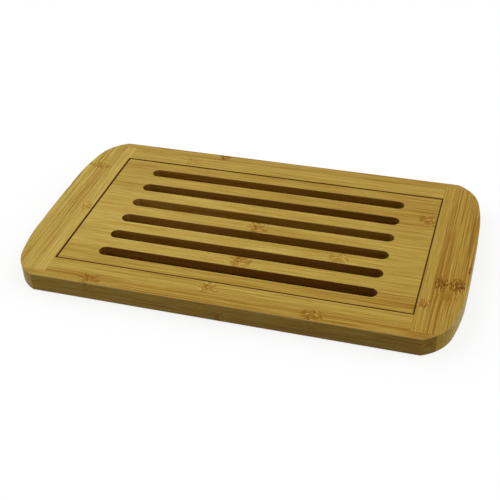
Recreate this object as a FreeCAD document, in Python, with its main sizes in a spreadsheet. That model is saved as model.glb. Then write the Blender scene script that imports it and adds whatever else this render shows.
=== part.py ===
import FreeCAD, Part
import math
import os
import Sketcher

# Bread board of glued bamboo staves: a two-ply frame with bowed ends, a thin floor let into its
# underside to hold the crumbs, and a slatted insert that drops onto a ledge inside the frame.
# Millimetres. X runs along the board, Y from front to back, Z up. The origin is the bottom centre.

doc = FreeCAD.newDocument("BreadBoard")
vector = FreeCAD.Vector
same = 1e-6

# Driving dimensions: alias, value, meaning.
size_rows = (
    ("board_length", 400.0, "over the crowns of the two ends"),
    ("board_width", 230.0, "between the straight front and back edges"),
    ("top_ply", 9.0, "thickness of the frame's top ply and of the insert"),
    ("bottom_ply", 9.0, "thickness of the frame's bottom ply"),
    ("crown_radius", 2500.0, "plan radius of the nearly straight middle of an end"),
    ("shoulder_radius", 200.0, "plan radius between the crown and the corner"),
    ("shoulder_rise", 70.0, "from the long edge back to where the shoulder leaves the crown"),
    ("corner_rise", 27.0, "from the long edge back to where the corner leaves the shoulder"),
    ("corner_run", 28.0, "from the crown in to where the long edge turns straight"),
    ("end_width", 39.0, "top ply of an end piece, from the crown to the recess"),
    ("rail_width", 28.0, "top ply of a rail, from the long edge to the recess"),
    ("lip", 7.4, "rail's lip that runs on past the end piece to the corner"),
    ("ledge", 7.0, "bottom ply that stands in under the insert"),
    ("front_top_seam", 13.0, "outer stave of the front rail's top ply"),
    ("back_top_seam", 10.8, "outer stave of the back rail's top ply"),
    ("front_bottom_seam", 21.0, "outer stave of the front rail's bottom ply"),
    ("back_bottom_seam", 18.0, "outer stave of the back rail's bottom ply"),
    ("left_top_seam", 10.8, "inner stave of the left end's top ply"),
    ("right_top_seam", 10.5, "inner stave of the right end's top ply"),
    ("left_bottom_seam", 22.0, "inner stave of the left end's bottom ply"),
    ("right_bottom_seam", 19.0, "inner stave of the right end's bottom ply"),
    ("floor_thickness", 4.0, "crumb tray floor, flush with the underside"),
    ("floor_rebate", 5.0, "rebate in the bottom ply that takes the floor's edge"),
    ("floor_play", 0.4, "floor smaller than its rebate, over both sides"),
    ("play_length", 2.0, "insert shorter than the recess, over both ends"),
    ("play_width", 2.0, "insert narrower than the recess, over both sides"),
    ("shift_right", 0.4, "insert lies this much right of the recess's centre"),
    ("shift_front", 0.2, "insert lies this much in front of the recess's centre"),
    ("slot_width", 12.0, "slot in the insert, with half-round ends"),
    ("slot_end_margin", 33.0, "from a slot's end to the end of the insert"),
    ("slot_side_margin", 13.0, "from the outermost slot to the insert's long edge"),
    ("seam_1", 2.1, "first stave seam behind the centre line of the first slot"),
    ("seam_2", 4.5, "second seam behind the centre line of the second slot"),
    ("seam_3", 4.0, "third seam behind the centre line of the third slot"),
    ("seam_4", -0.9, "fourth seam behind the centre line of the fourth slot"),
    ("seam_5", -2.8, "fifth seam behind the centre line of the fifth slot"),
    ("seam_6", -4.5, "sixth seam behind the centre line of the sixth slot"),
    ("edge_round", 1.0, "rounding of the board's outer top and bottom edges"),
    ("recess_round", 0.4, "rounding of the recess's top edge"),
    ("insert_round", 0.5, "rounding of the insert's and the slots' top edges"),
)
sheet = doc.addObject("Spreadsheet::Sheet", "Sizes")
size = {}
for row, (name, value, meaning) in enumerate(size_rows, start=1):
    sheet.set(f"A{row}", name)
    sheet.set(f"B{row}", str(value))
    sheet.set(f"C{row}", meaning)
    sheet.setAlias(f"B{row}", name)
    size[name] = value
doc.recompute()
seam_count = sum(name.startswith("seam_") for name in size)

# Sizes that follow from the driving ones, as expressions of the sheet.
half_length = "Sizes.board_length / 2"
half_width = "Sizes.board_width / 2"
recess_length = "(Sizes.board_length - 2 * Sizes.end_width)"
recess_width = "(Sizes.board_width - 2 * Sizes.rail_width)"
tray_length = f"({recess_length} - 2 * Sizes.ledge)"
tray_width = f"({recess_width} - 2 * Sizes.ledge)"
rebate_length = f"({tray_length} + 2 * Sizes.floor_rebate)"
rebate_width = f"({tray_width} + 2 * Sizes.floor_rebate)"
insert_length = f"({recess_length} - Sizes.play_length)"
insert_width = f"({recess_width} - Sizes.play_width)"
slot_run = f"({insert_length} - 2 * Sizes.slot_end_margin - Sizes.slot_width)"
row_span = f"({insert_width} - 2 * Sizes.slot_side_margin - Sizes.slot_width)"
slot_pitch = f"({row_span} / {seam_count - 1})"
ledge_level = "Sizes.bottom_ply"
board_height = "(Sizes.bottom_ply + Sizes.top_ply)"


def amount(expression):
    # Value of an expression of the sheet, for a sketch's first guess and for finding edges.
    return float(sheet.evalExpression(expression))


def new_body(name):
    return doc.addObject("PartDesign::Body", name)


def new_sketch(body, name, level):
    # A sketch on the body's own XY plane, raised to a level.
    plane = next(item for item in body.Origin.OriginFeatures if item.Role == "XY_Plane")
    sketch = body.newObject("Sketcher::SketchObject", name)
    sketch.AttachmentSupport = [(plane, "")]
    sketch.MapMode = "FlatFace"
    sketch.setExpression("AttachmentOffset.Base.z", level)
    return sketch


def bind(sketch, name, constraint, expression):
    # Adds a dimension that follows the sheet.
    index = sketch.addConstraint(constraint)
    sketch.renameConstraint(index, name)
    sketch.setExpression(f"Constraints.{name}", expression)


def above(sketch, name, geometry, point, expression):
    # Height of a point over the X axis, or under it where the expression starts with a minus.
    below = expression.startswith("-")
    expression = expression.lstrip("-")
    ends = (geometry, point, -1, 1) if below else (-1, 1, geometry, point)
    bind(sketch, name, Sketcher.Constraint("DistanceY", *ends, amount(expression)), expression)


def arc(centre, radius, start, end):
    return Part.ArcOfCircle(Part.Circle(centre, vector(0, 0, 1), radius), start, end)


def add_rectangle(sketch, length, width, right="0", front="0"):
    # A rectangle whose centre lies right of and in front of the origin.
    x = amount(length) / 2
    y = amount(width) / 2
    centre = vector(amount(right), -amount(front), 0)
    corners = [centre + vector(*c, 0) for c in ((-x, -y), (x, -y), (x, y), (-x, y))]
    first = sketch.GeometryCount
    for start, end in zip(corners, corners[1:] + corners[:1]):
        sketch.addGeometry(Part.LineSegment(start, end))
    front_side, right_side, back_side, left_side = range(first, first + 4)
    sides = (front_side, right_side, back_side, left_side)
    for side, following in zip(sides, sides[1:] + sides[:1]):
        sketch.addConstraint(Sketcher.Constraint("Coincident", side, 2, following, 1))
    for side in (front_side, back_side):
        sketch.addConstraint(Sketcher.Constraint("Horizontal", side))
    for side in (right_side, left_side):
        sketch.addConstraint(Sketcher.Constraint("Vertical", side))
    across = Sketcher.Constraint("DistanceX", front_side, 1, front_side, 2, 2 * x)
    bind(sketch, "length", across, length)
    along = Sketcher.Constraint("DistanceY", right_side, 1, right_side, 2, 2 * y)
    bind(sketch, "width", along, width)
    left_gap = Sketcher.Constraint("DistanceX", front_side, 1, -1, 1, x - amount(right))
    bind(sketch, "left_of_origin", left_gap, f"{length} / 2 - {right}")
    front_gap = Sketcher.Constraint("DistanceY", front_side, 1, -1, 1, y + amount(front))
    bind(sketch, "front_of_origin", front_gap, f"{width} / 2 + {front}")


def add_outline(sketch):
    # The board's plan outline: straight front and back edges, and at each end a nearly straight
    # crown, two shoulders and two corners that meet the straight edges at a slight angle.
    reach = size["board_length"] / 2
    depth = size["board_width"] / 2
    crown_end = depth - size["shoulder_rise"]
    shoulder_end = depth - size["corner_rise"]
    crown_centre = vector(reach - size["crown_radius"], 0, 0)
    crown_turn = math.asin(crown_end / size["crown_radius"])
    towards = vector(math.cos(crown_turn), math.sin(crown_turn), 0)
    shoulder_centre = crown_centre + towards * (size["crown_radius"] - size["shoulder_radius"])
    shoulder_turn = math.asin((shoulder_end - shoulder_centre.y) / size["shoulder_radius"])
    towards = vector(math.cos(shoulder_turn), math.sin(shoulder_turn), 0)
    corner_start = shoulder_centre + towards * size["shoulder_radius"]
    corner_end = vector(reach - size["corner_run"], depth, 0)
    chord = corner_end - corner_start
    corner_radius = -chord.Length ** 2 / (2 * chord.dot(towards))
    corner_centre = corner_start - towards * corner_radius
    to_end = corner_end - corner_centre
    corner_turn = math.atan2(to_end.y, to_end.x)

    def quadrant(centre, radius, start, end, right, back):
        # One of the four mirrored copies of an arc of the back right quarter.
        centre = vector(centre.x if right else -centre.x, centre.y if back else -centre.y, 0)
        if right and back:
            return arc(centre, radius, start, end)
        if back:
            return arc(centre, radius, math.pi - end, math.pi - start)
        if right:
            return arc(centre, radius, -end, -start)
        return arc(centre, radius, math.pi + start, math.pi + end)

    shoulder = (shoulder_centre, size["shoulder_radius"], crown_turn, shoulder_turn)
    corner = (corner_centre, corner_radius, shoulder_turn, corner_turn)
    crown = (crown_centre, size["crown_radius"])
    mirrored_crown = (vector(-crown_centre.x, 0, 0), size["crown_radius"])
    x = corner_end.x
    edges = [
        Part.LineSegment(vector(-x, -depth, 0), vector(x, -depth, 0)),
        quadrant(*corner, True, False),
        quadrant(*shoulder, True, False),
        arc(*crown, -crown_turn, crown_turn),
        quadrant(*shoulder, True, True),
        quadrant(*corner, True, True),
        Part.LineSegment(vector(x, depth, 0), vector(-x, depth, 0)),
        quadrant(*corner, False, True),
        quadrant(*shoulder, False, True),
        arc(*mirrored_crown, math.pi - crown_turn, math.pi + crown_turn),
        quadrant(*shoulder, False, False),
        quadrant(*corner, False, False),
    ]
    sketch.addGeometry(edges)
    front, front_right, right_front, right, right_back, back_right = range(6)
    back, back_left, left_back, left, left_front, front_left = range(6, 12)
    for one, next_one in ((front, front_right), (back_right, back), (back, back_left), (front_left, front)):
        sketch.addConstraint(Sketcher.Constraint("Coincident", one, 2, next_one, 1))
    for one in (front_right, right_front, right, right_back, back_left, left_back, left, left_front):
        sketch.addConstraint(Sketcher.Constraint("Tangent", one, 2, one + 1, 1))
    for line in (front, back):
        sketch.addConstraint(Sketcher.Constraint("Horizontal", line))
    for one, like in ((left, right), (right_back, right_front), (left_back, right_front),
                      (left_front, right_front), (back_right, front_right),
                      (back_left, front_right), (front_left, front_right)):
        sketch.addConstraint(Sketcher.Constraint("Equal", one, like))
    for crown_arc in (right, left):
        sketch.addConstraint(Sketcher.Constraint("PointOnObject", crown_arc, 3, -1))
    crown_size = Sketcher.Constraint("Radius", right, size["crown_radius"])
    bind(sketch, "crown_radius", crown_size, "Sizes.crown_radius")
    shoulder_size = Sketcher.Constraint("Radius", right_front, size["shoulder_radius"])
    bind(sketch, "shoulder_radius", shoulder_size, "Sizes.shoulder_radius")
    inset = f"Sizes.crown_radius - {half_length}"
    right_inset = Sketcher.Constraint("DistanceX", right, 3, -1, 1, -crown_centre.x)
    bind(sketch, "right_crown", right_inset, inset)
    left_inset = Sketcher.Constraint("DistanceX", -1, 1, left, 3, -crown_centre.x)
    bind(sketch, "left_crown", left_inset, inset)
    straight = Sketcher.Constraint("DistanceX", -1, 1, back, 1, x)
    bind(sketch, "straight_half", straight, f"{half_length} - Sizes.corner_run")
    above(sketch, "back_edge", back, 1, half_width)
    above(sketch, "front_edge", front, 1, f"-{half_width}")
    crown_half = f"({half_width} - Sizes.shoulder_rise)"
    above(sketch, "crown_back_right", right, 2, crown_half)
    above(sketch, "crown_front_right", right, 1, f"-{crown_half}")
    above(sketch, "crown_back_left", left, 1, crown_half)
    above(sketch, "crown_front_left", left, 2, f"-{crown_half}")
    shoulder_half = f"({half_width} - Sizes.corner_rise)"
    above(sketch, "shoulder_back_right", right_back, 2, shoulder_half)
    above(sketch, "shoulder_front_right", right_front, 1, f"-{shoulder_half}")
    above(sketch, "shoulder_back_left", left_back, 1, shoulder_half)
    above(sketch, "shoulder_front_left", left_front, 2, f"-{shoulder_half}")


def pad(body, name, sketch, thickness):
    feature = body.newObject("PartDesign::Pad", name)
    feature.Profile = sketch
    feature.setExpression("Length", thickness)
    doc.recompute()
    return feature


def pocket(body, name, sketch, depth):
    # Cuts upwards from the sketch, and proves that it took something away.
    before = body.Shape.Volume
    feature = body.newObject("PartDesign::Pocket", name)
    feature.Profile = sketch
    feature.Reversed = True
    feature.setExpression("Length", depth)
    doc.recompute()
    if body.Shape.Volume > before - same:
        raise RuntimeError(f"{name} cuts nothing")
    return feature


def round_edges(body, name, radius, level, wanted):
    # Rounds the edges that lie flat at a level and that the test picks.
    base = body.Tip
    picked = []
    for number, edge in enumerate(base.Shape.Edges, start=1):
        box = edge.BoundBox
        if max(abs(box.ZMin - level), abs(box.ZMax - level)) < same and wanted(box):
            picked.append(f"Edge{number}")
    feature = body.newObject("PartDesign::Fillet", name)
    feature.Base = (base, picked)
    feature.setExpression("Radius", radius)
    doc.recompute()


def box_between(name, low, high):
    # A box between two corners, each given as three expressions.
    box = doc.addObject("Part::Box", name)
    for axis, side, start, end in zip("xyz", ("Length", "Width", "Height"), low, high):
        box.setExpression(f"Placement.Base.{axis}", start)
        box.setExpression(side, f"({end}) - ({start})")
    return box


def boolean(kind, name, base, tool):
    feature = doc.addObject(f"Part::{kind}", name)
    feature.Base = base
    feature.Tool = tool
    feature.Refine = True
    return feature


def ply_blank(name, level, thickness, opening_length, opening_width):
    # One ply of the frame before it is parted into staves: the outline with its opening.
    body = new_body(name)
    sketch = new_sketch(body, f"{name}_plan", level)
    add_outline(sketch)
    add_rectangle(sketch, opening_length, opening_width)
    pad(body, f"{name}_pad", sketch, thickness)
    return body


def stave(name, source, low, high):
    return boolean("Common", name, source, box_between(f"{name}_extent", low, high))


def frame_ply(blank, ply, level, top, inset, seams):
    # Parts a ply into the four staves of its rails and the four of its ends. The ends fill the
    # blocks between the lips; the rails are what the blocks leave. A seam is the outer stave's
    # width in a rail and the inner stave's width in an end.
    front_seam, back_seam, left_seam, right_seam = seams
    joint = f"({half_length} - Sizes.end_width - {inset})"
    side = f"({half_width} - Sizes.lip)"
    left_low = (f"-({half_length})", f"-{side}", level)
    left_block = box_between(f"left_{ply}_block", left_low, (f"-{joint}", side, top))
    right_high = (half_length, side, top)
    right_block = box_between(f"right_{ply}_block", (joint, f"-{side}", level), right_high)
    without_left = boolean("Cut", f"{ply}_without_left_end", blank, left_block)
    rails = boolean("Cut", f"{ply}_rails", without_left, right_block)
    left_end = boolean("Common", f"{ply}_left_end", blank, left_block)
    right_end = boolean("Common", f"{ply}_right_end", blank, right_block)

    x, y = half_length, half_width
    front = f"-({y}) + {front_seam}"
    back = f"{y} - {back_seam}"
    left = f"-{joint} - {left_seam}"
    right = f"{joint} + {right_seam}"
    return [
        stave(f"front_rail_{ply}_outer", rails, (f"-({x})", f"-({y})", level), (x, front, top)),
        stave(f"front_rail_{ply}_inner", rails, (f"-({x})", front, level), (x, "0", top)),
        stave(f"back_rail_{ply}_outer", rails, (f"-({x})", back, level), (x, y, top)),
        stave(f"back_rail_{ply}_inner", rails, (f"-({x})", "0", level), (x, back, top)),
        stave(f"left_end_{ply}_outer", left_end, (f"-({x})", f"-({y})", level), (left, y, top)),
        stave(f"left_end_{ply}_inner", left_end, (left, f"-({y})", level), ("0", y, top)),
        stave(f"right_end_{ply}_outer", right_end, (right, f"-({y})", level), (x, y, top)),
        stave(f"right_end_{ply}_inner", right_end, ("0", f"-({y})", level), (right, y, top)),
    ]


def top_ply():
    # The top ply is open to the insert's recess. Its outer top edge is rounded, and the recess's
    # top edge is eased.
    level = ledge_level
    blank = ply_blank("top_ply_blank", level, "Sizes.top_ply", recess_length, recess_width)
    top = amount(board_height)
    recess_reach = amount(recess_length) / 2 + same
    recess_depth = amount(recess_width) / 2 + same

    def in_recess(box):
        return box.XMax < recess_reach and box.XMin > -recess_reach and box.YMax < recess_depth \
            and box.YMin > -recess_depth

    round_edges(blank, "top_outer_round", "Sizes.edge_round", top, lambda box: not in_recess(box))
    round_edges(blank, "recess_edge_round", "Sizes.recess_round", top, in_recess)
    seams = ("Sizes.front_top_seam", "Sizes.back_top_seam", "Sizes.left_top_seam",
             "Sizes.right_top_seam")
    return frame_ply(blank, "top", level, board_height, "0", seams)


def bottom_ply():
    # The bottom ply stands in under the insert by the ledge, and is rebated underneath for the
    # floor. Its outer bottom edge is rounded.
    blank = ply_blank("bottom_ply_blank", "0", "Sizes.bottom_ply", tray_length, tray_width)
    rebate = new_sketch(blank, "floor_rebate_plan", "0")
    add_rectangle(rebate, rebate_length, rebate_width)
    pocket(blank, "floor_rebate_pocket", rebate, "Sizes.floor_thickness")
    rebate_reach = amount(rebate_length) / 2 + same

    def on_outline(box):
        return max(abs(box.XMin), abs(box.XMax)) > rebate_reach

    round_edges(blank, "bottom_outer_round", "Sizes.edge_round", 0, on_outline)
    seams = ("Sizes.front_bottom_seam", "Sizes.back_bottom_seam", "Sizes.left_bottom_seam",
             "Sizes.right_bottom_seam")
    return frame_ply(blank, "bottom", "0", "Sizes.bottom_ply", "Sizes.ledge", seams)


def tray_floor():
    # Thin panel that closes the tray from below, flush with the underside.
    x = f"({rebate_length} - Sizes.floor_play) / 2"
    y = f"({rebate_width} - Sizes.floor_play) / 2"
    return box_between("crumb_tray_floor", (f"-{x}", f"-{y}", "0"), (x, y, "Sizes.floor_thickness"))


def insert_blank():
    # The slatted insert before it is parted into staves, where it lies in the recess.
    body = new_body("insert_blank")
    plan = new_sketch(body, "insert_plan", ledge_level)
    add_rectangle(plan, insert_length, insert_width, "Sizes.shift_right", "Sizes.shift_front")
    pad(body, "insert_pad", plan, "Sizes.top_ply")

    # The front slot: two lines and two half-round ends.
    radius = size["slot_width"] / 2
    reach = amount(slot_run) / 2
    left = vector(size["shift_right"] - reach, -size["shift_front"] - amount(row_span) / 2, 0)
    right = left + vector(2 * reach, 0, 0)
    up = vector(0, radius, 0)
    plan = new_sketch(body, "slot_plan", ledge_level)
    plan.addGeometry(Part.LineSegment(left - up, right - up))
    plan.addGeometry(arc(right, radius, -math.pi / 2, math.pi / 2))
    plan.addGeometry(Part.LineSegment(right + up, left + up))
    plan.addGeometry(arc(left, radius, math.pi / 2, 3 * math.pi / 2))
    front_side, right_end, back_side, left_end = range(4)
    sides = (front_side, right_end, back_side, left_end)
    for one, following in zip(sides, sides[1:] + sides[:1]):
        plan.addConstraint(Sketcher.Constraint("Tangent", one, 2, following, 1))
    plan.addConstraint(Sketcher.Constraint("Horizontal", front_side))
    plan.addConstraint(Sketcher.Constraint("Equal", right_end, left_end))
    round_end = Sketcher.Constraint("Radius", right_end, radius)
    bind(plan, "end_radius", round_end, "Sizes.slot_width / 2")
    run = Sketcher.Constraint("DistanceX", left_end, 3, right_end, 3, 2 * reach)
    bind(plan, "run", run, slot_run)
    start = Sketcher.Constraint("DistanceX", left_end, 3, -1, 1, -left.x)
    bind(plan, "left_of_origin", start, f"{slot_run} / 2 - Sizes.shift_right")
    above(plan, "front_of_origin", left_end, 3, f"-({row_span} / 2 + Sizes.shift_front)")
    slot = pocket(body, "slot_pocket", plan, "Sizes.top_ply")

    row = body.newObject("PartDesign::LinearPattern", "slot_row")
    row.Originals = [slot]
    row.Direction = (plan, ["V_Axis"])
    row.Mode = "Extent"
    row.setExpression("Length", row_span)
    row.Occurrences = seam_count
    body.Tip = row
    doc.recompute()
    round_edges(body, "insert_edge_round", "Sizes.insert_round", amount(board_height), lambda box: True)
    return body


def insert_staves():
    # Seven staves: each seam comes out in a slot, so that every bar is one stave.
    blank = insert_blank()
    x = f"{insert_length} / 2"
    front_edge = f"-Sizes.shift_front - {insert_width} / 2"
    back_edge = f"-Sizes.shift_front + {insert_width} / 2"
    first_slot = f"-Sizes.shift_front - {row_span} / 2"
    seams = [f"{first_slot} + {n} * {slot_pitch} + Sizes.seam_{n + 1}" for n in range(seam_count)]
    limits = [front_edge, *seams, back_edge]
    return [
        stave(f"insert_stave_{number}", blank,
              (f"Sizes.shift_right - {x}", start, ledge_level),
              (f"Sizes.shift_right + {x}", end, board_height))
        for number, (start, end) in enumerate(zip(limits, limits[1:]), start=1)
    ]


pieces = top_ply() + bottom_ply() + [tray_floor()] + insert_staves()
doc.recompute()

for item in doc.Objects:
    if "Invalid" in item.State or "Error" in item.State:
        raise RuntimeError(f"{item.Label} failed to build")
for item in pieces:
    if item.Shape.isNull() or not item.Shape.isValid() or len(item.Shape.Solids) != 1:
        raise RuntimeError(f"{item.Label} is not one valid solid")

os.makedirs("parts", exist_ok=True)
for item in pieces:
    item.Shape.exportStep(f"parts/{item.Label}.step")
print(f"{len(pieces)} pieces written")
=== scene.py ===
import math

import bpy
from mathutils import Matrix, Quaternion, Vector


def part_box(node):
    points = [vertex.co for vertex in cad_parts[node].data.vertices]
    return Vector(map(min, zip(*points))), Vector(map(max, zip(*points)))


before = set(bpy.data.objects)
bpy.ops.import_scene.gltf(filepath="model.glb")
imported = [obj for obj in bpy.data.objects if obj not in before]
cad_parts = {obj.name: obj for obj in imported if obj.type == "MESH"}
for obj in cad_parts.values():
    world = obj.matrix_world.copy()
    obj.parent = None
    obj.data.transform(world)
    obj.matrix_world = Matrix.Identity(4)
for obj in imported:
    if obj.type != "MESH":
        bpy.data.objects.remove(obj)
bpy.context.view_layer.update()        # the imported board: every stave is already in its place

mm = 0.001
print("frame loaded:", len(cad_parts), "staves and panels")


# Small helpers for shader trees

def addNode(tree, kind, inputs=None, **settings):
    node = tree.nodes.new(kind)
    for key, value in settings.items():
        setattr(node, key, value)
    for key, value in (inputs or {}).items():
        if isinstance(value, bpy.types.NodeSocket):
            tree.links.new(value, node.inputs[key])
        else:
            node.inputs[key].default_value = value
    return node


def calc(tree, operation, first, second=0.0, third=0.0):
    inputs = {0: first, 1: second, 2: third}
    return addNode(tree, "ShaderNodeMath", inputs, operation=operation).outputs[0]


def calcVector(tree, operation, first, second=(0, 0, 0)):
    node = addNode(tree, "ShaderNodeVectorMath", {0: first, 1: second}, operation=operation)
    return node.outputs["Value" if operation in ("LENGTH", "DOT_PRODUCT") else "Vector"]


def softStep(tree, value, low, high, start=0.0, end=1.0):
    # runs smoothly from start to end while the value goes from low to high
    inputs = {"Value": value, "From Min": low, "From Max": high, "To Min": start, "To Max": end}
    return addNode(tree, "ShaderNodeMapRange", inputs, interpolation_type="SMOOTHSTEP").outputs[0]


def mixColour(tree, share, first, second, blend="MIX"):
    node = addNode(tree, "ShaderNodeMix", data_type="RGBA", blend_type=blend)
    for key, value in ((0, share), (6, first), (7, second)):
        if isinstance(value, bpy.types.NodeSocket):
            tree.links.new(value, node.inputs[key])
        else:
            node.inputs[key].default_value = value
    return node.outputs[2]


def noise(tree, vector, detail=2.0, roughness=0.5):
    inputs = {"Vector": vector, "Scale": 1.0, "Detail": detail, "Roughness": roughness}
    return addNode(tree, "ShaderNodeTexNoise", inputs, noise_dimensions="3D").outputs["Fac"]


def newGroup(name, inputs, outputs):
    # inputs: name -> (kind, default); outputs: name -> kind
    group = bpy.data.node_groups.new(name, "ShaderNodeTree")
    for key, (kind, value) in inputs.items():
        socket = group.interface.new_socket(key, in_out="INPUT", socket_type=f"NodeSocket{kind}")
        socket.default_value = value
    for key, kind in outputs.items():
        group.interface.new_socket(key, in_out="OUTPUT", socket_type=f"NodeSocket{kind}")
    source = group.nodes.new("NodeGroupInput").outputs
    sink = group.nodes.new("NodeGroupOutput").inputs
    return group, source, sink


def useGroup(tree, group, inputs):
    node = addNode(tree, "ShaderNodeGroup", node_tree=group)
    for key, value in inputs.items():
        if isinstance(value, bpy.types.NodeSocket):
            tree.links.new(value, node.inputs[key])
        else:
            node.inputs[key].default_value = value
    return node.outputs


def colour(red, green, blue):
    # a colour as a paint program shows it, 0 to 255
    def linear(value):
        value /= 255
        return value / 12.92 if value <= 0.04045 else ((value + 0.055) / 1.055) ** 2.4
    return (linear(red), linear(green), linear(blue), 1.0)


# Bamboo, as groups that every stave uses with its own values.
# Grain space: x runs along the fibres, y across the stave, z through its thickness, in metres.

fibreValues = {
    # each pattern's length, width and own place in the noise
    "wave": (70 * mm, 8 * mm, 3.0),
    "band": (400 * mm, 9 * mm, 0.0),
    "streak": (150 * mm, 2.2 * mm, 7.0),
    "line": (260 * mm, 1.3 * mm, 23.0),
    "fibre": (45 * mm, 0.85 * mm, 13.0),
    "fleck": (8 * mm, 0.45 * mm, 19.0),
    "waver": 0.8 * mm,
    "seedStep": (37.0, 11.0, 5.3),      # how far one seed lies from the next
    "noiseRange": (0.3, 0.7),
    "lineEdge": (0.02, 0.26),
    "fleckEdge": (0.60, 0.70),
    "fibreRelief": 0.25, "fleckRelief": -0.3, "middleRelief": 0.5,
}


def buildFibres():
    # Tone swings about 0 and stays within about 1 either way
    v = fibreValues
    group, source, sink = newGroup(
        "bambooFibres",
        {"Vector": ("Vector", (0, 0, 0)), "Seed": ("Float", 0.0), "Bands": ("Float", 0.1),
         "Streaks": ("Float", 0.1), "Lines": ("Float", 0.1), "Fibres": ("Float", 0.1)},
        {"Tone": "Float", "Fleck": "Float", "Relief": "Float", "Vector": "Vector"})
    shift = calcVector(group, "SCALE", v["seedStep"])
    group.links.new(source["Seed"], shift.node.inputs["Scale"])

    def stretched(vector, key):
        length, width, offset = v[key]
        placed = calcVector(group, "MULTIPLY", vector, (1 / length, 1 / width, 1 / width))
        placed = calcVector(group, "ADD", placed, shift)
        return calcVector(group, "ADD", placed, (offset, offset, offset))

    def swing(value):
        low, high = v["noiseRange"]
        inputs = {"Value": value, "From Min": low, "From Max": high, "To Min": -1.0, "To Max": 1.0}
        return addNode(group, "ShaderNodeMapRange", inputs, clamp=False).outputs[0]

    # the fibres waver a little as they run
    wave = noise(group, stretched(source["Vector"], "wave"), 1.0)
    sideways = calc(group, "MULTIPLY_ADD", wave, 2 * v["waver"], -v["waver"])
    offset = addNode(group, "ShaderNodeCombineXYZ", {"Y": sideways}).outputs[0]
    bent = calcVector(group, "ADD", source["Vector"], offset)

    band = swing(noise(group, stretched(bent, "band"), 2.0))
    streak = swing(noise(group, stretched(bent, "streak"), 2.0, 0.6))
    crossing = calc(group, "ABSOLUTE", swing(noise(group, stretched(bent, "line"), 1.0)))
    line = softStep(group, crossing, *v["lineEdge"], -1.0, 0.0)
    fibre = swing(noise(group, stretched(bent, "fibre"), 2.0, 0.7))
    fleck = noise(group, stretched(bent, "fleck"), 1.0)

    tone = calc(group, "MULTIPLY", band, source["Bands"])
    for value, weight in ((streak, "Streaks"), (line, "Lines"), (fibre, "Fibres")):
        tone = calc(group, "MULTIPLY_ADD", value, source[weight], tone)
    group.links.new(tone, sink["Tone"])
    dashes = softStep(group, fleck, *v["fleckEdge"])
    group.links.new(dashes, sink["Fleck"])
    relief = calc(group, "MULTIPLY_ADD", dashes, v["fleckRelief"], v["middleRelief"])
    relief = calc(group, "MULTIPLY_ADD", fibre, v["fibreRelief"], relief)
    group.links.new(relief, sink["Relief"])
    group.links.new(bent, sink["Vector"])
    return group


knotValues = {
    # both patterns' length, width and own place in the noise
    "stroke": (4.2 * mm, 1.0 * mm, 3.0),
    "ripple": (5.5 * mm, 1.5 * mm, 17.0),
    "halfStep": 5.0,                     # and how far the V's two sides lie apart in it
    "strokeFill": 0.10, "strokeEdge": (0.52, 0.66),
    "rippleDepth": 0.46, "rippleEdge": (0.36, 0.64), "rippleFull": 0.6,
    "warpSize": 4.5 * mm, "warpDetail": 1.5, "warp": (5.4 * mm, 2.7 * mm, 0.0),
    "endRound": 1.4, "sideRound": 3.0, "rim": 0.5,
    "shade": 0.22, "bend": 3.0 * mm, "nodeLine": 1.5 * mm,
}


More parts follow.
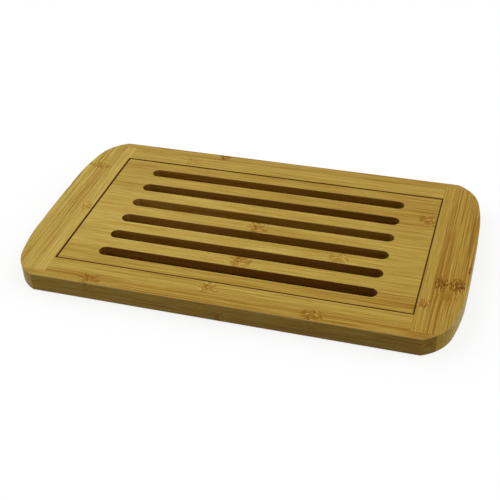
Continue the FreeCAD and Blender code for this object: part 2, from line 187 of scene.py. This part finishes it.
def buildKnot():
    # A culm node crossing the stave. Away is the place from its middle. The fibres slope off both
    # ways from the node line in a V, and short brown strokes crowd together between them.
    v = knotValues
    group, source, sink = newGroup(
        "bambooKnot",
        {"Vector": ("Vector", (0, 0, 0)), "Away": ("Vector", (0, 0, 0)), "Length": ("Float", 0.01),
         "Width": ("Float", 0.01), "Slope": ("Float", 0.5), "Strength": ("Float", 1.0),
         "Dark": ("Float", 0.0), "Ripple": ("Float", 0.0)},
        {"Vector": "Vector", "Dark": "Float", "Ripple": "Float"})
    warpAt = calcVector(group, "SCALE", source["Vector"])
    warpAt.node.inputs["Scale"].default_value = 1 / v["warpSize"]
    warp = addNode(group, "ShaderNodeTexNoise", {"Vector": warpAt, "Scale": 1.0, "Detail": v["warpDetail"]})
    warp = calcVector(group, "SUBTRACT", warp.outputs["Color"], (0.5, 0.5, 0.5))
    warp = calcVector(group, "MULTIPLY", warp, v["warp"])
    warped = calcVector(group, "ADD", source["Away"], warp)
    parts = addNode(group, "ShaderNodeSeparateXYZ", {0: warped}).outputs
    along = calc(group, "ABSOLUTE", calc(group, "DIVIDE", parts["X"], source["Length"]))
    across = calc(group, "ABSOLUTE", calc(group, "DIVIDE", parts["Y"], source["Width"]))
    endwise = calc(group, "POWER", along, v["endRound"])
    near = calc(group, "ADD", endwise, calc(group, "POWER", across, v["sideRound"]))
    body = softStep(group, near, 0.0, 1.0, 1.0, 0.0)
    inside = softStep(group, body, 0.0, v["rim"])

    # the V: soft at the node line, and each side has its own strokes
    reach = calc(group, "SQRT", calc(group, "MULTIPLY_ADD", parts["X"], parts["X"], v["nodeLine"] ** 2))
    slanted = calc(group, "SUBTRACT", parts["Y"], calc(group, "MULTIPLY", reach, source["Slope"]))
    half = calc(group, "SIGN", parts["X"])

    def slantedNoise(key):
        length, width, offset = v[key]
        inputs = {"X": calc(group, "DIVIDE", parts["X"], length), "Y": calc(group, "DIVIDE", slanted, width),
                  "Z": calc(group, "MULTIPLY_ADD", half, v["halfStep"], offset)}
        return noise(group, addNode(group, "ShaderNodeCombineXYZ", inputs).outputs[0], 1.0)

    crowded = calc(group, "MULTIPLY_ADD", body, v["strokeFill"], slantedNoise("stroke"))
    strokes = calc(group, "MULTIPLY", softStep(group, crowded, *v["strokeEdge"]), inside)
    dark = calc(group, "MULTIPLY", strokes, source["Strength"])
    group.links.new(calc(group, "MAXIMUM", source["Dark"], dark), sink["Dark"])

    # the fibres round it are browner, with pale and brown ripples, and bend round it
    depth = v["rippleDepth"]
    wave = softStep(group, slantedNoise("ripple"), *v["rippleEdge"], -depth, depth)
    wave = calc(group, "MULTIPLY", wave, inside)
    wave = calc(group, "MULTIPLY", wave, softStep(group, source["Strength"], 0.0, v["rippleFull"]))
    browner = calc(group, "MULTIPLY", calc(group, "MULTIPLY", body, source["Strength"]), -v["shade"])
    ripple = calc(group, "ADD", source["Ripple"], calc(group, "ADD", wave, browner))
    group.links.new(ripple, sink["Ripple"])
    push = calc(group, "MULTIPLY", calc(group, "MULTIPLY", body, source["Slope"]), v["bend"])
    offset = addNode(group, "ShaderNodeCombineXYZ", {"Y": push}).outputs[0]
    group.links.new(calcVector(group, "ADD", source["Vector"], offset), sink["Vector"])
    return group


def buildStain():
    # A long soft patch of browner or paler fibres. Place is 0 at its middle and 1 at its rim.
    group, source, sink = newGroup(
        "bambooStain",
        {"Place": ("Vector", (0, 0, 0)), "Strength": ("Float", -0.2), "Tone": ("Float", 0.0)},
        {"Tone": "Float"})
    distance = calcVector(group, "LENGTH", calcVector(group, "MULTIPLY", source["Place"], (1, 1, 0)))
    shape = softStep(group, distance, 0.0, 1.0, 1.0, 0.0)
    tone = calc(group, "MULTIPLY_ADD", shape, source["Strength"], source["Tone"])
    group.links.new(tone, sink["Tone"])
    return group


glueValues = {
    "width": 0.3 * mm, "core": 0.25,
    "unevenScale": 90.0, "noiseRange": (0.3, 0.7), "thinnest": 0.5, "thickest": 1.2,
}


def buildGlueLine():
    # Thin dark line where a stave meets its neighbour. Low and High are the glued sides of the
    # stave in board space, pushed far away on the free sides.
    v = glueValues
    group, source, sink = newGroup(
        "glueLine",
        {"Vector": ("Vector", (0, 0, 0)), "Low": ("Vector", (-1, -1, -1)), "High": ("Vector", (1, 1, 1)),
         "Width": ("Float", v["width"])},
        {"Line": "Float"})
    sides = []
    for outer, inner in ((source["Vector"], source["Low"]), (source["High"], source["Vector"])):
        parts = addNode(group, "ShaderNodeSeparateXYZ", {0: calcVector(group, "SUBTRACT", outer, inner)})
        sides += [parts.outputs[axis] for axis in "XYZ"]
    nearest = sides[0]
    for side in sides[1:]:
        nearest = calc(group, "MINIMUM", nearest, side)
    uneven = calcVector(group, "SCALE", source["Vector"])
    uneven.node.inputs["Scale"].default_value = v["unevenScale"]
    share = softStep(group, noise(group, uneven), *v["noiseRange"], v["thinnest"], v["thickest"])
    width = calc(group, "MULTIPLY", source["Width"], share)
    line = softStep(group, calc(group, "DIVIDE", nearest, width), v["core"], 1.0, 1.0, 0.0)
    group.links.new(line, sink["Line"])
    return group


gapShadeValues = {"width": 0.6 * mm, "core": 0.3}


def buildGapShadeLine():
    # Painted shade: a dark line along the rims of the gap round the insert, where the gap lies in shade, by
    # the distance from a rectangle.
    v = gapShadeValues
    group, source, sink = newGroup(
        "gapShadeLine",
        {"Away": ("Vector", (0, 0, 0)), "Half": ("Vector", (0.1, 0.1, 0)), "Width": ("Float", v["width"])},
        {"Line": "Float"})
    away = calcVector(group, "ABSOLUTE", source["Away"])
    parts = addNode(group, "ShaderNodeSeparateXYZ", {0: calcVector(group, "SUBTRACT", away, source["Half"])})
    edge = calc(group, "ABSOLUTE", calc(group, "MAXIMUM", parts.outputs["X"], parts.outputs["Y"]))
    line = softStep(group, calc(group, "DIVIDE", edge, source["Width"]), v["core"], 1.0, 1.0, 0.0)
    group.links.new(line, sink["Line"])
    return group


sidesValues = {
    # how far a face has to turn for each: along the grain, and upwards
    "endGrain": (0.45, 1.0), "side": (0.15, 0.6), "under": (-0.05, -0.4),
    # the upward rounded edges made paler: partly wear, partly a painted highlight
    "wearAndHighlightFrom": (0.05, 0.35), "wearAndHighlightTo": (0.85, 0.99),
}


def buildSides():
    # Tells top, sides, rounded edges and fibres cut across apart by the slope of the surface.
    v = sidesValues
    group, source, sink = newGroup(
        "boardSides", {"Grain": ("Vector", (1, 0, 0))},
        {"Side": "Float", "WearAndHighlight": "Float", "UnderShade": "Float", "EndGrain": "Float"})
    normal = addNode(group, "ShaderNodeNewGeometry").outputs["Normal"]
    facing = calc(group, "ABSOLUTE", calcVector(group, "DOT_PRODUCT", normal, source["Grain"]))
    group.links.new(softStep(group, facing, *v["endGrain"]), sink["EndGrain"])
    up = addNode(group, "ShaderNodeSeparateXYZ", {0: normal}).outputs["Z"]
    group.links.new(softStep(group, calc(group, "ABSOLUTE", up), *v["side"], 1.0, 0.0), sink["Side"])
    # rounded edges that face upwards: partly wear, partly a painted highlight
    edge = softStep(group, up, *v["wearAndHighlightFrom"])
    wearAndHighlight = calc(group, "MULTIPLY", edge, softStep(group, up, *v["wearAndHighlightTo"], 1.0, 0.0))
    group.links.new(wearAndHighlight, sink["WearAndHighlight"])
    # painted shade: the faces that look downwards, the underside and the bottom's rounded edges, made browner
    group.links.new(softStep(group, up, *v["under"]), sink["UnderShade"])
    return group


groups = {
    "fibres": buildFibres(),
    "knot": buildKnot(),
    "stain": buildStain(),
    "glue": buildGlueLine(),
    "gapShade": buildGapShadeLine(),
    "sides": buildSides(),
}
print("bamboo groups built")


# Materials

bamboo = {
    # tone 0 to 1, from brown fibres to straw
    "tones": ((0.0, colour(138, 95, 25)), (0.2, colour(153, 116, 38)), (0.5, colour(169, 137, 57)),
              (0.8, colour(183, 155, 71)), (1.0, colour(193, 169, 88))),
    "middleTone": 0.52,
    "bands": 0.06,
    "knot": colour(76, 34, 0),
    "rust": colour(150, 96, 14),
    "fleck": colour(140, 98, 30),
    # paler rounded top edges: partly wear, partly a painted highlight
    "wearAndHighlight": colour(200, 178, 112),
    "endGrain": colour(190, 182, 172),
    # dark joints between staves; also the colour of the painted shade on the faces that look downwards
    "glue": colour(80, 46, 16),
    # the painted shade along the rims of the gap round the insert
    "gapShade": colour(84, 26, 6),
    "knotShare": 0.85,
    "rustShare": 0.70,
    "fleckShare": 0.34,
    "wearAndHighlightShare": 0.30,
    "glueShare": 0.50,
    # painted shade on the faces that look downwards, in the glue colour
    "underShadeShare": 0.18,
    "gapShadeShare": 0.92,
    # how much less of a knot its stave's cut faces show, and the strokes' strengths for its browns
    "rippleCut": 0.75, "knotCut": 0.5, "rustEdge": (0.0, 0.7), "knotEdge": (0.3, 1.1),
    "knotRoughness": 0.08, "knotRelief": -0.5,
    "roughness": 0.52,
    "roughnessSpread": 0.10,
    "reliefHeight": 0.04 * mm,
    "specular": 0.02,
    "coat": 0.25,
    "coatRoughness": 0.15,
    "coatIor": 1.2,
    "sheen": 0.42,
    "sheenRoughness": 0.35,
    "sheenTint": colour(214, 206, 126),
}

# what a stave's look is, where it says nothing else
usualLook = {
    "tone": 0.0, "contrast": 0.14, "lines": 0.26, "fibres": 0.32, "calm": 0.5,
    "knots": (), "streaks": (), "stains": (), "glued": (),
    "drift": None, "cut": None, "shade": None, "gapShade": None,
}

# the recess and the insert, for the painted shade lines round their gap: middle and half size
recess = (Vector((0, 0, 0)), Vector((161 * mm, 87 * mm, 1)))
insert = (Vector((0.4 * mm, -0.2 * mm, 0)), Vector((160 * mm, 86 * mm, 1)))

turned = {"x": 0.0, "y": -math.pi / 2}   # turns the board's coordinates into grain space
grainDirection = {"x": (1, 0, 0), "y": (0, 1, 0)}


def toGrain(grain, x, y):
    return (x, y) if grain == "x" else (y, -x)


def centred(tree, vector, middle, size=(1, 1, 1)):
    # the place as seen from a pattern's middle, in units of its size
    inputs = {"Vector": vector, "Location": middle, "Scale": size}
    return addNode(tree, "ShaderNodeMapping", inputs, vector_type="TEXTURE").outputs[0]


def streakRamp(tree, across, low, high, streaks):
    # One ramp holds the streaks that run the whole length, as tones about a middle grey.
    ramp = addNode(tree, "ShaderNodeValToRGB")
    grey = 0.5
    span = high - low
    share = calc(tree, "DIVIDE", calc(tree, "SUBTRACT", across, low), span)
    tree.links.new(share, ramp.inputs[0])
    stops = []
    for place, half, tone in sorted(streaks):
        stops += [(place * mm - half * mm, 0.0), (place * mm, tone), (place * mm + half * mm, 0.0)]
    elements = ramp.color_ramp.elements
    ramp.color_ramp.interpolation = "EASE"
    while len(elements) < len(stops):
        elements.new(0.5)
    for element, (place, tone) in zip(elements, stops):
        element.position = min(max((place - low) / span, 0.0), 1.0)
        element.color = (grey + tone,) * 3 + (1.0,)
    return calc(tree, "SUBTRACT", ramp.outputs["Color"], grey)


def staveMaterial(name, ownLook):
    look = {**usualLook, **ownLook}
    grain = look["grain"]
    material = bpy.data.materials.new(name)
    material.use_nodes = True
    tree = material.node_tree
    shader = tree.nodes["Principled BSDF"]
    place = addNode(tree, "ShaderNodeTexCoord").outputs["Object"]
    turn = addNode(tree, "ShaderNodeMapping", {"Vector": place, "Rotation": (0, 0, turned[grain])})
    vector = turn.outputs[0]
    sides = useGroup(tree, groups["sides"], {"Grain": grainDirection[grain]})

    dark, ripple = 0.0, 0.0
    for x, y, length, width, slope, strength in look["knots"]:
        away = centred(tree, vector, (*toGrain(grain, x * mm, y * mm), 0))
        values = {"Vector": vector, "Away": away, "Length": length * mm, "Width": width * mm,
                  "Slope": slope, "Strength": strength, "Dark": dark, "Ripple": ripple}
        knot = useGroup(tree, groups["knot"], values)
        vector, dark, ripple = (knot[key] for key in ("Vector", "Dark", "Ripple"))

    fibres = useGroup(tree, groups["fibres"], {
        "Vector": vector, "Seed": look["seed"], "Bands": bamboo["bands"], "Streaks": look["contrast"],
        "Lines": look["lines"], "Fibres": look["fibres"]})
    if look["knots"]:
        # a knot's ripples show on the top, and only faintly where its stave is cut through
        shown = calc(tree, "MULTIPLY_ADD", sides["Side"], -bamboo["rippleCut"], 1.0)
        ripple = calc(tree, "MULTIPLY", ripple, shown)
    tone = calc(tree, "ADD", fibres["Tone"], ripple)
    parts = addNode(tree, "ShaderNodeSeparateXYZ", {0: fibres["Vector"]}).outputs
    low, high = (Vector(corner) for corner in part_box(name))
    if look["streaks"]:
        ends = sorted(toGrain(grain, corner.x, corner.y)[1] for corner in (low, high))
        streaks = [(toGrain(grain, at, at)[1], half, depth) for at, half, depth in look["streaks"]]
        tone = calc(tree, "ADD", tone, streakRamp(tree, parts["Y"], *ends, streaks))
    for x, y, length, width, strength in look["stains"]:
        middle = (*toGrain(grain, x * mm, y * mm), 0)
        patch = centred(tree, fibres["Vector"], middle, (length * mm, width * mm, 1))
        values = {"Place": patch, "Strength": strength, "Tone": tone}
        tone = useGroup(tree, groups["stain"], values)["Tone"]
    tone = calc(tree, "MULTIPLY", tone, calc(tree, "MULTIPLY_ADD", sides["Side"], -look["calm"], 1.0))
    tone = calc(tree, "ADD", tone, bamboo["middleTone"] + look["tone"])
    if look["drift"]:
        # the stave's tone changes steadily from its one end to the other
        ends = sorted(toGrain(grain, corner.x, corner.y)[0] for corner in (low, high))
        tone = calc(tree, "ADD", tone, softStep(tree, parts["X"], *ends, *look["drift"]))

    tones = addNode(tree, "ShaderNodeValToRGB", {0: tone})
    ramp = tones.color_ramp
    while len(ramp.elements) < len(bamboo["tones"]):
        ramp.elements.new(0.5)
    for element, (position, value) in zip(ramp.elements, bamboo["tones"]):
        element.position = position
        element.color = value
    base = tones.outputs["Color"]
    fleck = calc(tree, "MULTIPLY", fibres["Fleck"], bamboo["fleckShare"])
    base = mixColour(tree, fleck, base, bamboo["fleck"])
    if look["knots"]:
        # rusty brown where a stroke is weak, dark brown where it is strong
        seen = calc(tree, "MULTIPLY", dark, calc(tree, "MULTIPLY_ADD", sides["Side"], -bamboo["knotCut"], 1.0))
        for brown in ("rust", "knot"):
            share = softStep(tree, seen, *bamboo[brown + "Edge"], 0.0, bamboo[brown + "Share"])
            base = mixColour(tree, share, base, bamboo[brown])

    # paler upward rounded edges, partly wear and partly a painted highlight, and painted shade on the faces
    # that look downwards
    for mask, share, tint in (("WearAndHighlight", "wearAndHighlightShare", "wearAndHighlight"), ("UnderShade", "underShadeShare", "glue")):
        base = mixColour(tree, calc(tree, "MULTIPLY", sides[mask], bamboo[share]), base, bamboo[tint])
    if grain == "x":
        # fibres cut across drink in more of the oil: the lips' ends and the round ends of the slots
        base = mixColour(tree, sides["EndGrain"], base, bamboo["endGrain"], "MULTIPLY")
    if look["cut"]:
        base = mixColour(tree, sides["Side"], base, look["cut"], "MULTIPLY")
    if look["shade"]:
        # painted light and shade: side faces grow darker towards the right, from where, and how much at each
        # end
        start, *ends = look["shade"]
        across = addNode(tree, "ShaderNodeSeparateXYZ", {0: place}).outputs["X"]
        shade = softStep(tree, across, start * mm, high.x, *ends)
        shaded = addNode(tree, "ShaderNodeCombineXYZ", {0: shade, 1: shade, 2: shade}).outputs[0]
        base = mixColour(tree, sides["Side"], base, shaded, "MULTIPLY")
    glued = look["glued"]
    lowSides = [value if side in glued else -1.0 for value, side in zip(low, ("left", "front", "under"))]
    highSides = [value if side in glued else 1.0 for value, side in zip(high, ("right", "back", "over"))]
    line = useGroup(tree, groups["glue"], {"Vector": place, "Low": lowSides, "High": highSides})["Line"]
    base = mixColour(tree, calc(tree, "MULTIPLY", line, bamboo["glueShare"]), base, bamboo["glue"])
    if look["gapShade"]:
        middle, half = look["gapShade"]
        gapShade = useGroup(tree, groups["gapShade"], {"Away": centred(tree, place, middle), "Half": half})["Line"]
        # painted shade of the gap, only on the top: the walls below are plain bamboo, dark for want of light
        share = calc(tree, "MULTIPLY_ADD", sides["Side"], -bamboo["gapShadeShare"], bamboo["gapShadeShare"])
        base = mixColour(tree, calc(tree, "MULTIPLY", gapShade, share), base, bamboo["gapShade"])
    tree.links.new(base, shader.inputs["Base Color"])

    raised = calc(tree, "SUBTRACT", fibres["Relief"], fibreValues["middleRelief"])
    rough = calc(tree, "MULTIPLY_ADD", raised, -bamboo["roughnessSpread"], bamboo["roughness"])
    rough = calc(tree, "MULTIPLY_ADD", dark, bamboo["knotRoughness"], rough)
    tree.links.new(rough, shader.inputs["Roughness"])
    height = calc(tree, "MULTIPLY_ADD", dark, bamboo["knotRelief"], fibres["Relief"])
    relief = {"Height": height, "Distance": bamboo["reliefHeight"], "Strength": 1.0}
    tree.links.new(addNode(tree, "ShaderNodeBump", relief).outputs[0], shader.inputs["Normal"])
    for key, value in (("Specular IOR Level", "specular"), ("Coat Weight", "coat"),
                       ("Coat Roughness", "coatRoughness"), ("Coat IOR", "coatIor"),
                       ("Sheen Weight", "sheen"), ("Sheen Roughness", "sheenRoughness"),
                       ("Sheen Tint", "sheenTint")):
        shader.inputs[key].default_value = bamboo[value]
    return material


# What a look holds, with places in mm on the board:
# streaks: place across the grain, half width, change of tone.
# stains: x, y, half length, half width, change of tone.
# knots: x, y, half length, half width, slope of the V, strength.
# drift: change of tone at the start and the end of the grain.
# shade: painted light and shade on the side faces: where it starts, and their brightness there and at the
# right end.
# glued: the sides with a glue line. cut: the colour that the side faces are multiplied by.

# Front and back rails: the grain runs along the board
# the front faces' colour; with the rails' shade it paints light and shade on them, brighter on the left,
# darker towards the right
frontSide = colour(231, 232, 255)    # greyer than the top
railLooks = {
    "front_rail_top_outer": {
        "seed": 1.3, "tone": -0.06, "shade": (-30, 1.21, 1.06), "cut": frontSide, "glued": ("back", "under"),
        "streaks": [(-106.5, 1.8, -0.22), (-109.6, 1.0, 0.08), (-113, 1.0, -0.04)],
        "stains": [(120, -105, 60, 2.5, -0.10), (172, -110.5, 26, 5, -0.32), (-172, -110.5, 16, 5, -0.14)],
        "knots": [(-118, -108, 14, 9, 0.8, 0.62), (81, -107.5, 12, 9, -0.8, 0.68)]},
    "front_rail_top_inner": {
        "seed": 2.7, "tone": 0.14, "drift": (0.03, -0.01), "glued": ("front", "under"),
        "streaks": [(-99.5, 0.9, -0.14), (-93.8, 1.2, -0.14), (-91.4, 0.9, 0.10), (-89.5, 0.8, -0.08)],
        "knots": [(-13, -95, 12, 9, 0.7, 0.5)]},
    "back_rail_top_outer": {
        "seed": 3.9, "tone": 0.0, "drift": (0.02, -0.06), "glued": ("front", "under"),
        "streaks": [(105.6, 1.6, -0.16), (109, 1.4, 0.02)],
        "knots": [(-64, 110.5, 9, 7, 0.4, 0.8)]},
    "back_rail_top_inner": {
        "seed": 5.2, "tone": 0.10, "drift": (0.04, 0.02), "glued": ("back", "under"),
        # painted shade: its recess wall is darker, for the shade down in the gap
        "cut": colour(118, 78, 42),
        "streaks": [(89.5, 1.4, 0.10)],
        "knots": [(-95, 98, 13, 10, 0.5, 0.3)]},
    "front_rail_bottom_outer": {
        "seed": 6.1, "tone": -0.04, "shade": (-200, 1.24, 0.98), "cut": frontSide, "glued": ("back", "over"),
        "knots": [(1, -112, 6, 8, 0.5, 0.9)]},
    "front_rail_bottom_inner": {"seed": 7.7, "tone": 0.0, "glued": ("front", "over")},
    "back_rail_bottom_outer": {
        "seed": 8.4, "tone": -0.02, "glued": ("front", "over"), "knots": [(88, 108, 8, 9, 0.5, 0.8)]},
    "back_rail_bottom_inner": {"seed": 9.5, "tone": 0.02, "glued": ("back", "over")},
}

# End pieces: the grain runs across the board
endLooks = {
    "left_end_top_outer": {
        "seed": 11.2, "tone": 0.29, "contrast": 0.12, "lines": 0.80, "fibres": 0.30,
        "glued": ("right", "front", "back", "under"),
        "streaks": [(-189, 1.0, -0.10), (-182.5, 1.2, 0.08)],
        "stains": [(-193, 30, 50, 1.4, -0.28), (-180.5, 55, 13, 2.4, -0.20), (-187.5, -60, 45, 0.9, -0.20),
                   (-179.6, -70, 60, 0.9, -0.26), (-177.6, -65, 50, 0.7, 0.14), (-175.6, -60, 55, 0.9, -0.24),
                   (-173.4, -70, 60, 0.8, -0.20), (-186, 20, 40, 0.8, -0.15), (-176, 35, 45, 0.9, -0.16)],
        "knots": [(-185, 67, 7, 15, 0.3, 0.55)]},
    "left_end_top_inner": {
        # painted shade: its recess wall is darker, for the shade down in the gap
        "seed": 12.9, "tone": 0.34, "contrast": 0.12, "lines": 0.14, "cut": colour(140, 98, 56),
        "glued": ("left", "front", "back", "under"),
        "streaks": [(-164.6, 0.7, -0.18)],
        "knots": [(-167, -5, 9, 6, -0.7, 0.5)]},
    "right_end_top_outer": {
        "seed": 14.1, "tone": -0.10, "contrast": 0.20, "lines": 0.80, "fibres": 0.30,
        "glued": ("left", "front", "back", "under"),
        "streaks": [(174, 1.0, -0.18), (176.4, 0.8, 0.08), (187.4, 0.8, 0.12), (189.5, 0.9, -0.22),
                    (191.3, 0.8, 0.10)],
        "stains": [(178, 5, 48, 2.0, -0.28), (184, -60, 18, 7, -0.12), (174.5, -22, 26, 1.0, -0.20),
                   (181.5, -24, 20, 0.9, -0.22), (188, -22, 22, 1.0, -0.25), (192.5, -26, 18, 0.9, -0.22),
                   (176, -64, 20, 1.0, -0.15), (181, -60, 16, 0.9, -0.15), (187, -64, 20, 1.0, -0.18),
                   (192, -60, 16, 0.9, -0.15)],
        "knots": [(176.6, -41, 12, 8, 0.12, 1.15), (190.6, -41, 12, 8, -0.12, 1.2),
                  (184, -58, 14, 12, 0.25, 0.26), (198.5, -18, 7, 2.5, 0.2, 1.0)]},
    "right_end_top_inner": {
        "seed": 15.6, "tone": 0.0, "contrast": 0.12, "glued": ("right", "front", "back", "under"),
        "knots": [(167, -71, 9, 7, 0.35, 0.5)]},
    "left_end_bottom_outer": {"seed": 16.3, "tone": 0.05, "glued": ("right", "front", "back", "over")},
    "left_end_bottom_inner": {"seed": 17.8, "tone": 0.05, "glued": ("left", "front", "back", "over")},
    "right_end_bottom_outer": {"seed": 18.5, "tone": -0.04, "glued": ("left", "front", "back", "over"),
                               "knots": [(190, 52, 7, 9, 0.4, 0.8)]},
    "right_end_bottom_inner": {"seed": 19.9, "tone": 0.02, "glued": ("right", "front", "back", "over")},
}

# Slatted insert: the grain runs along the slots, and the cut faces are darker, partly the bamboo's colour and
# partly painted shade of the slots' walls
slotCutAndShade = colour(202, 166, 132)      # also for recess walls that give no colour of their own
# painted shade: the slots' walls paler on the left and darker towards the right
slotPaintedShade = (-160, 1.12, 0.84)
# each stave's cut darkens its slot wall by its own amount: partly the bamboo's colour, partly painted shade
insertLooks = {
    "insert_stave_1": {
        "seed": 21.4, "drift": (0.08, -0.12), "glued": ("back",),
        "stains": [(145, -71, 30, 4, -0.15), (143, -80, 28, 4, 0.08)]},
    "insert_stave_2": {
        "seed": 22.6, "cut": colour(173, 136, 117), "drift": (0.28, 0.10), "glued": ("front", "back"),
        "stains": [(-145, -64, 25, 1.0, -0.3), (146, -62.5, 28, 3, -0.24), (145, -38, 25, 3, -0.2),
                   (146, -52, 20, 6, -0.1)],
        "knots": [(2, -52, 14, 11, 1.0, 0.6)]},
    "insert_stave_3": {
        "seed": 23.3, "cut": colour(187, 151, 128), "drift": (0.36, 0.12), "glued": ("front", "back"),
        "stains": [(145, -33, 30, 2.5, -0.28), (-145, -27, 30, 4, -0.12), (143, -26.5, 28, 2, -0.10),
                   (143, -12.3, 28, 2.5, -0.25)],
        "knots": [(86, -27.5, 12, 10, -0.9, 0.45)]},
    "insert_stave_4": {
        "seed": 24.8, "cut": colour(195, 161, 138), "drift": (0.28, 0.14), "glued": ("front", "back"),
        "knots": [(3, 0, 13, 11, 0.6, 0.65)]},
    "insert_stave_5": {
        "seed": 25.5, "cut": colour(209, 183, 160), "drift": (0.28, 0.08), "glued": ("front", "back"),
        "stains": [(143, 18.5, 28, 7, -0.20)]},
    "insert_stave_6": {
        "seed": 26.9, "cut": colour(188, 161, 146), "drift": (0.12, -0.04), "glued": ("front", "back"),
        "stains": [(145, 60, 30, 2, -0.10), (148, 50, 18, 9, -0.05)],
        "knots": [(155, 48, 14, 11, -0.6, 0.55)]},
    "insert_stave_7": {
        "seed": 27.2, "cut": colour(210, 182, 155), "drift": (0.06, -0.08), "glued": ("front",),
        "stains": [(-140, 78, 30, 5, -0.16)]},
}

floorLooks = {"crumb_tray_floor": {"seed": 31.7, "tone": -0.03}}

# What the staves of a member share. calm: how much quieter the grain is on the side faces.
# painted light: the end pieces' side faces made paler and greener than the top, like the sheen they show at a
# slant
endSidePaintedLight = (1.04, 1.08, 1.03, 1.0)    # the rounded ends, a little paler and greener than the top
members = (
    (railLooks, {"grain": "x", "calm": 0.0}),
    (endLooks, {"grain": "y", "cut": endSidePaintedLight}),
    (insertLooks, {"grain": "x", "calm": 0.0, "cut": slotCutAndShade, "shade": slotPaintedShade, "gapShade": insert}),
    (floorLooks, {"grain": "x"}),
)
for looks, shared in members:
    for name, look in looks.items():
        if name.endswith("top_inner"):       # its side faces are the walls of the recess
            look = {"cut": slotCutAndShade, "gapShade": recess, **look}
        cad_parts[name].material_slots[0].material = staveMaterial(name, {**shared, **look})
print("stave materials made:", len(bpy.data.materials))


# Studio: pale floor, one wide soft lamp on either side, white surroundings

studio = {
    "floorSize": 6.0,
    "floorDrop": 0.1 * mm,       # so that it doesn't lie in the board's underside
    "floorColour": (1.0, 1.0, 1.0, 1.0),
    "bounceColour": (0.20, 0.20, 0.20, 1.0),     # what the floor throws back at the board
    "floorRoughness": 0.9,
    "glowColour": (1.0, 1.0, 1.0, 1.0),
    "glowShare": 0.80,           # the rest takes the board's shadow
    "sunAngle": math.radians(60),
    "suns": ((1.25, Vector((1.0, 0.22, 0.7))), (1.55, Vector((-1.0, 0.22, 0.7)))),   # strength, direction
    "skyStrength": 0.50,
}


def seenRay(tree):
    # 1 for what the camera, a reflection or glass sees, 0 for light that the scene gathers
    path = addNode(tree, "ShaderNodeLightPath").outputs
    seen = calc(tree, "MAXIMUM", path["Is Camera Ray"], path["Is Glossy Ray"])
    return calc(tree, "MAXIMUM", seen, path["Is Transmission Ray"])


def buildStudio():
    bpy.ops.mesh.primitive_plane_add(size=studio["floorSize"], location=(0, 0, -studio["floorDrop"]))
    floor = bpy.context.object
    floor.name = "studio_floor"
    material = bpy.data.materials.new("studioFloor")
    material.use_nodes = True
    tree = material.node_tree
    seen = seenRay(tree)
    shader = tree.nodes["Principled BSDF"]
    shown = mixColour(tree, seen, studio["bounceColour"], studio["floorColour"])
    tree.links.new(shown, shader.inputs["Base Color"])
    shader.inputs["Roughness"].default_value = studio["floorRoughness"]
    shader.inputs["Specular IOR Level"].default_value = 0.0
    glow = addNode(tree, "ShaderNodeEmission", {"Color": studio["glowColour"], "Strength": 1.0})
    share = calc(tree, "MULTIPLY", seen, studio["glowShare"])
    both = addNode(tree, "ShaderNodeMixShader", {0: share, 1: shader.outputs[0], 2: glow.outputs[0]})
    tree.links.new(both.outputs[0], tree.nodes["Material Output"].inputs["Surface"])
    floor.data.materials.append(material)

    for energy, direction in studio["suns"]:
        lamp = bpy.data.objects.new("sun", bpy.data.lights.new("sun", "SUN"))
        lamp.data.energy = energy
        lamp.data.angle = studio["sunAngle"]
        lamp.rotation_mode = "QUATERNION"
        lamp.rotation_quaternion = direction.to_track_quat("Z", "Y")
        bpy.context.scene.collection.objects.link(lamp)

    world = bpy.data.worlds.new("studio")
    bpy.context.scene.world = world
    world.use_nodes = True
    tree = world.node_tree
    background = tree.nodes["Background"]
    strength = softStep(tree, seenRay(tree), 0.0, 1.0, studio["skyStrength"], 1.0)
    background.inputs["Color"].default_value = studio["glowColour"]
    tree.links.new(strength, background.inputs["Strength"])


cameraFit = {
    "azimuth": math.radians(18.403),
    "elevation": math.radians(36.748),
    "roll": math.radians(2.653),
    "distance": 0.90364,
    "target": Vector((-0.00158, -0.01209, 0.0)),
    "lens": 70.276,
}


def buildCamera():
    fit = cameraFit
    flat = math.cos(fit["elevation"])
    back = Vector((math.sin(fit["azimuth"]) * flat, -math.cos(fit["azimuth"]) * flat,
                   math.sin(fit["elevation"])))
    camera = bpy.data.objects.new("camera", bpy.data.cameras.new("camera"))
    camera.data.lens = fit["lens"]
    camera.rotation_mode = "QUATERNION"
    roll = Quaternion((0, 0, 1), -fit["roll"])
    camera.rotation_quaternion = (-back).to_track_quat("-Z", "Y") @ roll
    camera.location = fit["target"] + back * fit["distance"]
    bpy.context.scene.collection.objects.link(camera)
    bpy.context.scene.camera = camera


buildStudio()
buildCamera()
bpy.context.scene.view_settings.view_transform = "Standard"
print("studio and camera ready")
